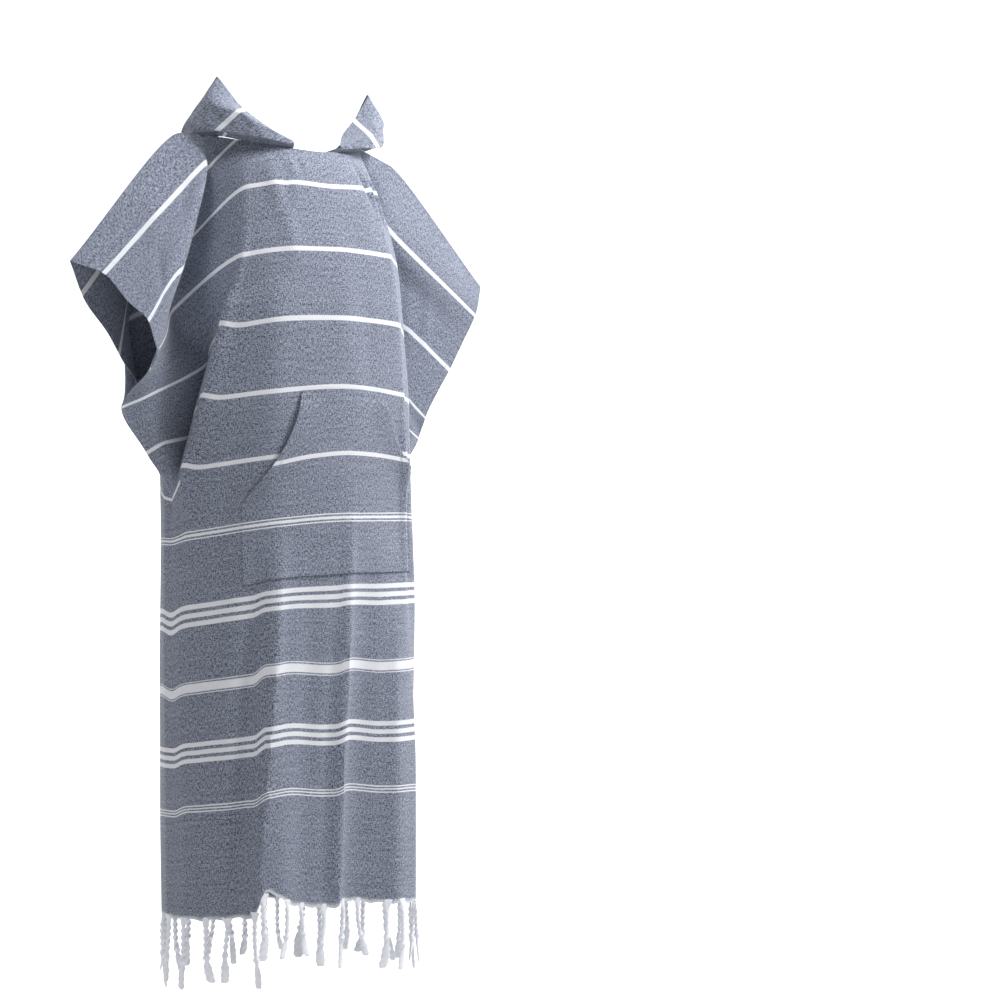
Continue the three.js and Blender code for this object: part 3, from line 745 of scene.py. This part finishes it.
def hem_lift(across, down):
    """How far the front's cloth is drawn up: in steps beside its two lower
    creases, in a notch at the hem, and along the chest's crest. The left
    sleeve sags instead."""
    low = rise(down, 640, 200)
    step = rise(across, -148, 18) * rise(across, -20, -90)
    second = rise(across, -16, 16) * rise(across, 74, -70)
    notch = hump(across, -134, np.where(across < -134, 9, 26)) * rise(down, 1060, 105)
    sleeve = hump(across, 284, 34) * rise(down, 70, 50) * rise(down, 330, -60)
    drawn_up = STEP_RISE * low * step + SECOND_RISE * low * second + NOTCH_RISE * notch
    return drawn_up - SLEEVE_SAG * sleeve + CREST_RISE * crest_band(across, down, 14)


def back_hem_drop(across, down):
    """The back hangs a little lower where the front hem shows its inside."""
    return -BACK_DROP * rise(down, 1090, 70) * rise(across, 40, 30) * rise(across, 196, -30)


FRONT_LEFT_ROWS = left_rows(FRONT_ROWS, FRONT_LEFT, FRONT_SHARE)
BACK_LEFT_ROWS = left_rows(BACK_ROWS, BACK_LEFT, BACK_SHARE)
front, front_places, front_across, front_down = panel_cloth(
    "front_cloth", FRONT_ROWS, FRONT_LEFT_ROWS, -1, FRONT_CREASES, hem_lift
)
back, back_places, back_across, back_down = panel_cloth(
    "back_cloth", BACK_ROWS, BACK_LEFT_ROWS, 1, BACK_CREASES, back_hem_drop
)

# %% [markdown]
# The cloth turns over in a soft round fold at the shoulders, and is sewn from
# the sleeve's mouth to the hem down each side. Both are a thin roll along the
# panels' common edge, with the stripes carried across.


# %% Folds and seams
def edge_roll(name, line, down, radius, material, beside=(0.02, 1, 0.01), sides=8):
    """A round edge along a line, with the stripes of the cut. The line never
    runs in the direction beside."""
    bpy.ops.mesh.primitive_cylinder_add(vertices=sides, radius=1, depth=2, end_fill_type="NOTHING")
    piece = bpy.context.active_object
    piece.name = piece.data.name = name
    along = np.gradient(line, axis=0)
    along /= np.linalg.norm(along, axis=1, keepdims=True)
    forward = np.cross(along, np.array(beside))
    forward /= np.linalg.norm(forward, axis=1, keepdims=True)
    other = np.cross(along, forward)
    turns = np.arange(sides) / sides * 2 * np.pi
    rings = line[:, None] + radius * (
        np.cos(turns)[None, :, None] * forward[:, None] + np.sin(turns)[None, :, None] * other[:, None]
    )
    count = len(line)
    steps = [(i, (i + 1) % sides) for i in range(sides)]
    faces = [
        (k * sides + i, k * sides + j, (k + 1) * sides + j, (k + 1) * sides + i)
        for k in range(count - 1) for i, j in steps
    ]
    mesh = piece.data
    mesh.clear_geometry()
    mesh.from_pydata(rings.reshape(-1, 3) * MM, [], faces)
    cut = mesh.uv_layers.new(name="cut")
    corners = np.empty(len(mesh.loops), dtype=int)
    mesh.loops.foreach_get("vertex_index", corners)
    uv = np.stack([turns[corners % sides] * radius * MM, down[corners // sides] * MM], axis=1)
    cut.data.foreach_set("uv", uv.ravel())
    mesh.materials.append(material)
    bpy.ops.object.shade_smooth()
    return piece


SHOULDER_COLUMNS = sum(ACROSS_COUNTS[-2:]) + 1
SEAM_START = 325
FOLD_RADIUS = 1.35
SEAM_RADIUS = 1.5
rolls = []
for side, edge, shoulder in (("right", 0, np.s_[:SHOULDER_COLUMNS]), ("left", -1, np.s_[-SHOULDER_COLUMNS:])):
    fold, fold_down = front_places[0, shoulder], front_down[0, shoulder]
    rolls.append(edge_roll(f"shoulder_fold_{side}", fold, fold_down, FOLD_RADIUS, towel))
    sewn = front_down[:, edge] >= SEAM_START
    seam, seam_down = front_places[sewn, edge], front_down[sewn, edge]
    rolls.append(edge_roll(f"side_seam_{side}", seam, seam_down, SEAM_RADIUS, towel))

# %% [markdown]
# The hood is two halves sewn down the middle. It lies down: from the neck
# seam each half rolls over beside the neck, down to the bottom of the bag,
# and back up to the face edge, which stands in a wing on each side.

# %% Hood
HOOD_LIFT = 0.65
# Panel and place of the neck seam, then roll, bottom, belly and rim (x, y, z)
HOOD_ROWS = [
    (FRONT_ROWS, 0.76, (-41, -68, -13), (-42, -71, -11), (-43, -71, -8), (-42, -69, -5)),
    (FRONT_ROWS, 1.3, (-71, -60, -7), (-82, -70, -6), (-84, -68, 8), (-67, -44, 15)),
    (FRONT_ROWS, 2, (-107, -38, 0), (-126, -50, 0), (-133, -50, 30), (-103, -28, 43)),
    (FRONT_ROWS, 2.9, (-134, -7, 8), (-160, -14, 6), (-166, -16, 38), (-138, -16, 83)),
    (BACK_ROWS, 2.3, (-128, 28, 8), (-160, 38, 0), (-158, 38, 14), (-136, 36, 22)),
    (BACK_ROWS, 1.7, (-102, 57, -2), (-138, 96, -70), (-146, 104, -44), (-110, 78, -8)),
    (BACK_ROWS, 1, (-60, 80, -5), (-92, 134, -152), (-100, 156, -92), (-68, 116, -15)),
    (BACK_ROWS, 0.03, (-2, 87, -8), (-2, 142, -196), (-2, 176, -108), (-2, 128, -18)),
]
# (place along the hood's rows and round its profile, both ends, half width, height)
HOOD_CREASES = [
    (2.0, 2.2, 3.4, 3.6, 0.22, 3.0),
    (2.6, 2.1, 4.2, 3.2, 0.2, -3.0),
    (3.6, 2.2, 5.2, 3.7, 0.24, 4.0),
    (4.4, 2.1, 6.0, 3.0, 0.24, -4.0),
    (5.2, 2.4, 6.6, 3.8, 0.26, 4.0),
    (1.2, 2.4, 2.2, 3.7, 0.16, -1.6),
]


# Steps along the hood, and round its profile between seam, roll, bottom, belly and rim
HOOD_STEPS = 141
PROFILE_COUNTS = (4, 24, 24, 24)
# The face edge is this long on the wing, and behind it the bag takes up less cloth
WING_LENGTH = 140
BAG_SPREAD = 0.62
STRIPE_SLANT = 25
# The stripe crosses each wing in a straight line: a place on it, seen from the
# camera (beside, height), and how fast the cut grows along both directions
WING_STRIPE = {1: (-49, 48, -0.67, 0.742), -1: (101, 36, 0.74, 0.673)}


def hood_rows():
    """The hood's table, with the neck seam looked up on the panels."""
    table = []
    for rows, neck, *places in HOOD_ROWS:
        first = np.array(rows[0], dtype=float)
        line = np.concatenate([first[1:2] * np.array([1, -1, 1, 1]), first])
        x, y, z = through(line, [neck + 1])[0][1:]
        table.append([(min(x, -0.15), y, z + HOOD_LIFT), *places])
    return table


def hood_crease_height(along, part):
    """How far the hood's creases move each point outwards."""
    height = np.zeros(part.shape)
    for a0, t0, a1, t1, width, depth in HOOD_CREASES:
        line = np.array([a1 - a0, t1 - t0])
        size = np.hypot(*line)
        line = line / size
        run = (along - a0) * line[0] + (part - t0) * line[1]
        beside = (along - a0) * line[1] - (part - t0) * line[0]
        height += depth * np.sin(np.pi * np.clip(run / size, 0, 1)) * hump(beside, 0, width)
    return height


def hood_half(name, side):
    """Half a hood; side is 1 on the wearer's right and -1 on the left."""
    rows = hood_rows()
    along = np.linspace(0, len(rows) - 1, HOOD_STEPS)
    profile = through(rows, along)
    round_steps = np.array(steps_between(PROFILE_COUNTS))
    places = np.swapaxes(through(np.swapaxes(profile, 0, 1), round_steps), 0, 1)
    rim = places[:, -1]
    rim_length = np.concatenate([[0], np.cumsum(np.linalg.norm(np.diff(rim, axis=0), axis=1))])
    part = np.broadcast_to(round_steps, places.shape[:2])
    upper = np.clip((part - 2) / 2, -1, 1)
    beyond_wing = np.maximum(rim_length - WING_LENGTH, 0)
    spread = rim_length - beyond_wing * (1 - BAG_SPREAD)
    stripe_at = spread[:, None] - STRIPE_SLANT * (1 - upper)
    gaps = np.linalg.norm(np.diff(places, axis=1), axis=2)
    widths = np.concatenate([np.zeros((len(places), 1)), np.cumsum(gaps, axis=1)], axis=1)
    keep = rise(along, len(rows) - 1, -0.5)[:, None] * rise(part, 1.2, 0.8)
    height = hood_crease_height(along[:, None], part) * keep
    places = places + outward_normals(places) * height[..., None]
    places = places * np.array([side, 1, 1])
    x0, z0, tilt_x, tilt_z = WING_STRIPE[side]
    beside = places[..., 0] * math.cos(YAW) + places[..., 1] * math.sin(YAW)
    straight = HOOD_STRIPES[0][0] + (beside - x0) * tilt_x + (places[..., 2] - z0) * tilt_z
    wing = rise(part, 0.6, 0.5) * rise(along, 4.2, -0.8)[:, None]
    stripe_at = stripe_at * (1 - wing) + straight * wing
    if side < 0:
        places, widths, stripe_at = places[::-1], widths[::-1], stripe_at[::-1]
    return sewn_cloth(name, places, widths, stripe_at, hood_cloth, CLOTH)


hood_right = hood_half("hood_right_cloth", 1)
hood_left = hood_half("hood_left_cloth", -1)
seam_line = through(hood_rows()[-1], steps_between(PROFILE_COUNTS))[3:] * np.array([0, 1, 1])
hood_seam = edge_roll("hood_seam", seam_line, np.zeros(len(seam_line)), 2.5, hood_cloth, beside=(1, 0, 0))

# %% [markdown]
# The pocket is a patch that lies on the front, so its points are looked up on
# the hung front and moved out. Its two mouths are curved, and it bellies a
# little there, where the hands go in.

# %% Pocket
POCKET_TOP = 424
POCKET_MOUTH_END = 575
POCKET_BOTTOM = 690
POCKET_TOP_HALF = 76
POCKET_BOTTOM_HALF = 160
POCKET_CLOTH = 1.6
POCKET_OFF = 0.5
MOUTH_BELLY = 4.2
MOUTH_SAG = 10
front_normals = outward_normals(front_places)
centre_column = int(np.argmin(np.abs(front_across[0])))
front_row_down = front_down[:, centre_column]


def on_front(across, down):
    """Places and normals of the front at points of the cut."""
    row = np.interp(down, front_row_down, np.arange(len(front_row_down)))
    low = np.clip(np.floor(row).astype(int), 0, len(front_row_down) - 2)
    part = row - low
    result = []
    for grid in (front_places, front_normals):
        found = np.empty((len(across), 3))
        for k, (a, i, t) in enumerate(zip(across, low, part)):
            ends = []
            for line in (i, i + 1):
                column = np.interp(a, front_across[line], np.arange(front_across.shape[1]))
                j = min(int(column), front_across.shape[1] - 2)
                ends.append(grid[line, j] * (1 - column + j) + grid[line, j + 1] * (column - j))
            found[k] = ends[0] * (1 - t) + ends[1] * t
        result.append(found)
    return result


def pocket_half(down):
    """Half width of the pocket at a place down the cut."""
    t = np.clip((down - POCKET_TOP) / (POCKET_MOUTH_END - POCKET_TOP), 0, 1)
    return POCKET_TOP_HALF + (POCKET_BOTTOM_HALF - POCKET_TOP_HALF) * (0.25 * t + 0.75 * t * t)


def mouth_share(down):
    """1 beside the two curved mouths, and 0 above and below them."""
    return rise(down, POCKET_MOUTH_END + 8, -40) * rise(down, POCKET_TOP, 30)


def pocket_lift(down, from_edge):
    """How far the pocket's inner face is moved out from the front."""
    return CLOTH + POCKET_OFF + MOUTH_BELLY * mouth_share(down) * hump(from_edge, 2, 26)


def pocket_cloth():
    downs = np.linspace(POCKET_TOP, POCKET_BOTTOM, 96)
    fractions = np.linspace(-1, 1, 140)
    across = fractions[None, :] * pocket_half(downs)[:, None]
    down = np.repeat(downs[:, None], len(fractions), axis=1)
    places, normals = on_front(across.ravel(), down.ravel())
    places = places.reshape(*across.shape, 3)
    normals = normals.reshape(*across.shape, 3)
    from_edge = pocket_half(downs)[:, None] - np.abs(across)
    places = places + normals * pocket_lift(down, from_edge)[..., None]
    sag = MOUTH_SAG * mouth_share(down) * np.exp(-from_edge / 70)
    return sewn_cloth("pocket_cloth", places, across, down - sag, towel, POCKET_CLOTH)


pocket = pocket_cloth()

# %% [markdown]
# Stitches are short capsules in rows: along the pocket's mouths and sides,
# and along the turned hems of the sleeves. One is made, and the rest are
# copies in one mesh.

# %% Stitches
STITCH_LENGTH = 3.2
STITCH_GAP = 1.5
STITCH_HALF_WIDTH = 0.36
STITCH_HALF_HEIGHT = 0.3
STITCH_ABOVE = 0.15
MOUTH_SEAMS = (7.5, 9.8)
SIDE_SEAM = 1.6
SLEEVE_HEM_COLUMNS = 2
SLEEVE_MOUTH_END = 318


def stitch_rows(name, lines):
    """Stitches along lists of points with normals."""
    bpy.ops.mesh.primitive_uv_sphere_add(segments=6, ring_count=4, radius=1)
    one = bpy.context.active_object
    stitch_size = np.array([STITCH_LENGTH / 2, STITCH_HALF_WIDTH, STITCH_HALF_HEIGHT])
    shape = np.array([v.co[:] for v in one.data.vertices]) * stitch_size
    faces = [list(p.vertices) for p in one.data.polygons]
    bpy.data.objects.remove(one)
    points, all_faces = [], []
    for line, normals in lines:
        lengths = np.concatenate([[0], np.cumsum(np.linalg.norm(np.diff(line, axis=0), axis=1))])
        for at in np.arange(STITCH_LENGTH, lengths[-1] - STITCH_LENGTH, STITCH_LENGTH + STITCH_GAP):
            place = np.array([np.interp(at, lengths, line[:, c]) for c in range(3)])
            ahead = np.array([np.interp(at + 1, lengths, line[:, c]) for c in range(3)])
            out = np.array([np.interp(at, lengths, normals[:, c]) for c in range(3)])
            forward = (ahead - place) / np.linalg.norm(ahead - place)
            out = out / np.linalg.norm(out)
            sideways = np.cross(out, forward)
            turn = np.stack([forward, sideways, np.cross(forward, sideways)])
            all_faces += [[v + len(points) * len(shape) for v in f] for f in faces]
            points.append(shape @ turn + place)
    mesh = bpy.data.meshes.new(name)
    mesh.from_pydata(np.concatenate(points) * MM, [], all_faces)
    piece = bpy.data.objects.new(name, mesh)
    bpy.context.collection.objects.link(piece)
    mesh.materials.append(thread)
    for polygon in mesh.polygons:
        polygon.use_smooth = True
    print(name, len(points), "stitches")
    return piece


def pocket_stitches():
    lines = []
    for side in (1, -1):
        for inset in MOUTH_SEAMS:
            downs = np.linspace(POCKET_TOP + 6, POCKET_MOUTH_END, 60)
            lines.append(pocket_line(downs, side, inset))
        downs = np.linspace(POCKET_MOUTH_END + 2, POCKET_BOTTOM - 2, 30)
        lines.append(pocket_line(downs, side, SIDE_SEAM))
    return lines


def pocket_line(downs, side, inset):
    across = side * (pocket_half(downs) - inset)
    places, normals = on_front(across, downs)
    lift = pocket_lift(downs, inset) + POCKET_CLOTH + STITCH_ABOVE
    return places + normals * lift[:, None], normals


def sleeve_stitches(places, down):
    """A line beside the sleeve's mouth on each side of a panel."""
    normals = outward_normals(places)
    lines = []
    for column in (SLEEVE_HEM_COLUMNS, places.shape[1] - 1 - SLEEVE_HEM_COLUMNS):
        rows = np.where(down[:, column] < SLEEVE_MOUTH_END)[0]
        lines.append((places[rows, column] + normals[rows, column] * (CLOTH + 0.1), normals[rows, column]))
    return lines


pocket_thread = stitch_rows("pocket_stitches", pocket_stitches())
front_thread = stitch_rows("front_sleeve_stitches", sleeve_stitches(front_places, front_down))
back_thread = stitch_rows("back_sleeve_stitches", sleeve_stitches(back_places, back_down))

# %% [markdown]
# Each tassel is a bundle of warp ends, twisted, knotted near its end, and cut
# to a flat brush. Its root spreads in a small web where the yarns leave the
# hem. The tassels hang unevenly, and a few lean towards a neighbour.

# %% Fringe
TASSEL_LENGTHS = (92, 82, 80, 96, 84, 72, 66, 78, 90, 74, 86)
# Two strands twist once in this length, and stand out as ridges; the rings and
# the points round each ring make up the mesh
STRANDS = 2
TWIST = 19
RIDGE = 0.36
ROUND = 16
TASSEL_RINGS = 56
ROOT_RISE = 2.0
ROOT_LENGTH = 7
BACK_NUMBERS = 50


def tassel(number, root, across, out, length):
    """Points and faces of one tassel: web, twist, knot and brush."""
    knot = 0.60 + 0.1 * math.sin(number * 3.1)
    thick = 3.2 + 0.4 * math.sin(number * 1.9)
    # Place along the tassel, half width, half depth, and how ridged the twist is
    table = [
        (-0.03, 8.5, 0.7, 0.0),
        (0.04, 6.0, 1.2, 0.1),
        (0.10, thick * 1.15, 2.0, 0.5),
        (0.16, thick, thick * 0.9, 1.0),
        (knot - 0.05, thick * 0.95, thick * 0.85, 1.0),
        (knot, thick * 1.6, thick * 1.5, 0.4),
        (knot + 0.06, thick * 1.0, thick * 0.8, 0.3),
        (knot + 0.16, thick * 1.9, thick * 0.7, 0.25),
        (0.97, thick * 2.0, thick * 0.5, 0.3),
        (1.0, thick * 1.3, thick * 0.35, 0.3),
    ]
    stops = np.array([row[0] for row in table])
    sway = np.array([math.sin(number * 2.3) * 11, math.cos(number * 1.7) * 4, 0])
    rings = []
    for k in range(TASSEL_RINGS):
        t = stops[0] + (1 - stops[0]) * k / (TASSEL_RINGS - 1)
        width, depth, ridge = (np.interp(t, stops, [row[c] for row in table]) for c in (1, 2, 3))
        twist = t * length / TWIST * 2 * math.pi
        bend = math.sin(t * 6 + number) * 2.6 * t
        centre = root + sway * t * t + across * bend + np.array([0, 0, -length * t])
        angles = np.arange(ROUND) / ROUND * 2 * math.pi
        lobes = 1 + ridge * RIDGE * np.cos(STRANDS * (angles - twist))
        beside = np.outer(np.cos(angles) * width * lobes, across)
        outward = np.outer(np.sin(angles) * depth * lobes, out)
        rings.append(centre + beside + outward)
    points = np.concatenate(rings)
    faces = []
    for k in range(TASSEL_RINGS - 1):
        for i in range(ROUND):
            j = (i + 1) % ROUND
            faces.append([k * ROUND + i, k * ROUND + j, (k + 1) * ROUND + j, (k + 1) * ROUND + i])
    faces.append(list(range(ROUND))[::-1])
    faces.append([(TASSEL_RINGS - 1) * ROUND + i for i in range(ROUND)])
    return points, faces


def fringe(name, places, side):
    """All the tassels of one hem in one mesh."""
    hem = places[-1]
    lengths = np.concatenate([[0], np.cumsum(np.linalg.norm(np.diff(hem, axis=0), axis=1))])
    pitch = lengths[-1] / TASSELS
    points, faces, total = [], [], 0
    for k in range(TASSELS):
        at = pitch * (k + 0.5) + 5 * math.sin(k * 2.7)
        root = np.array([np.interp(at, lengths, hem[:, c]) for c in range(3)])
        ahead = np.array([np.interp(at + 2, lengths, hem[:, c]) for c in range(3)])
        along = (ahead - root) * np.array([1, 1, 0])
        along /= np.linalg.norm(along)
        out = np.array([along[1], -along[0], 0])
        root = root + out * (CLOTH / 2) + np.array([0, 0, ROOT_RISE])
        length = TASSEL_LENGTHS[k % len(TASSEL_LENGTHS)] + ROOT_LENGTH
        part, part_faces = tassel(k + (0 if side < 0 else BACK_NUMBERS), root, along, out, length)
        points.append(part)
        faces += [[v + total for v in f] for f in part_faces]
        total += len(part)
    mesh = bpy.data.meshes.new(name)
    mesh.from_pydata(np.concatenate(points) * MM, [], faces)
    piece = bpy.data.objects.new(name, mesh)
    bpy.context.collection.objects.link(piece)
    mesh.materials.append(yarn)
    bpy.ops.object.select_all(action="DESELECT")
    bpy.context.view_layer.objects.active = piece
    piece.select_set(True)
    bpy.ops.object.mode_set(mode="EDIT")
    bpy.ops.mesh.select_all(action="SELECT")
    bpy.ops.mesh.normals_make_consistent(inside=False)
    bpy.ops.object.mode_set(mode="OBJECT")
    bpy.ops.object.shade_smooth()
    print(name, TASSELS, "tassels")
    return piece


fringe_front = fringe("fringe_front_yarn", front_places, -1)
fringe_back = fringe("fringe_back_yarn", back_places, 1)

# %% [markdown]
# Last, each piece is tied to the frame: what it rides on, which solid it
# stands for, and its finish.

# %% Tie the pieces to the frame
PIECES = [
    (front, "front", "cloth"),
    (back, "back", "cloth"),
    (hood_right, "hood_right", "cloth"),
    (hood_left, "hood_left", "cloth"),
    (pocket, "pocket", "cloth"),
    (fringe_front, "fringe_front", "fringe"),
    (fringe_back, "fringe_back", "fringe"),
]
for piece, node, finish in PIECES:
    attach(piece, "root")
    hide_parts(node)
for stitches in (pocket_thread, front_thread, back_thread):
    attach(stitches, "root")
for roll in (*rolls, hood_seam):
    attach(roll, "root")
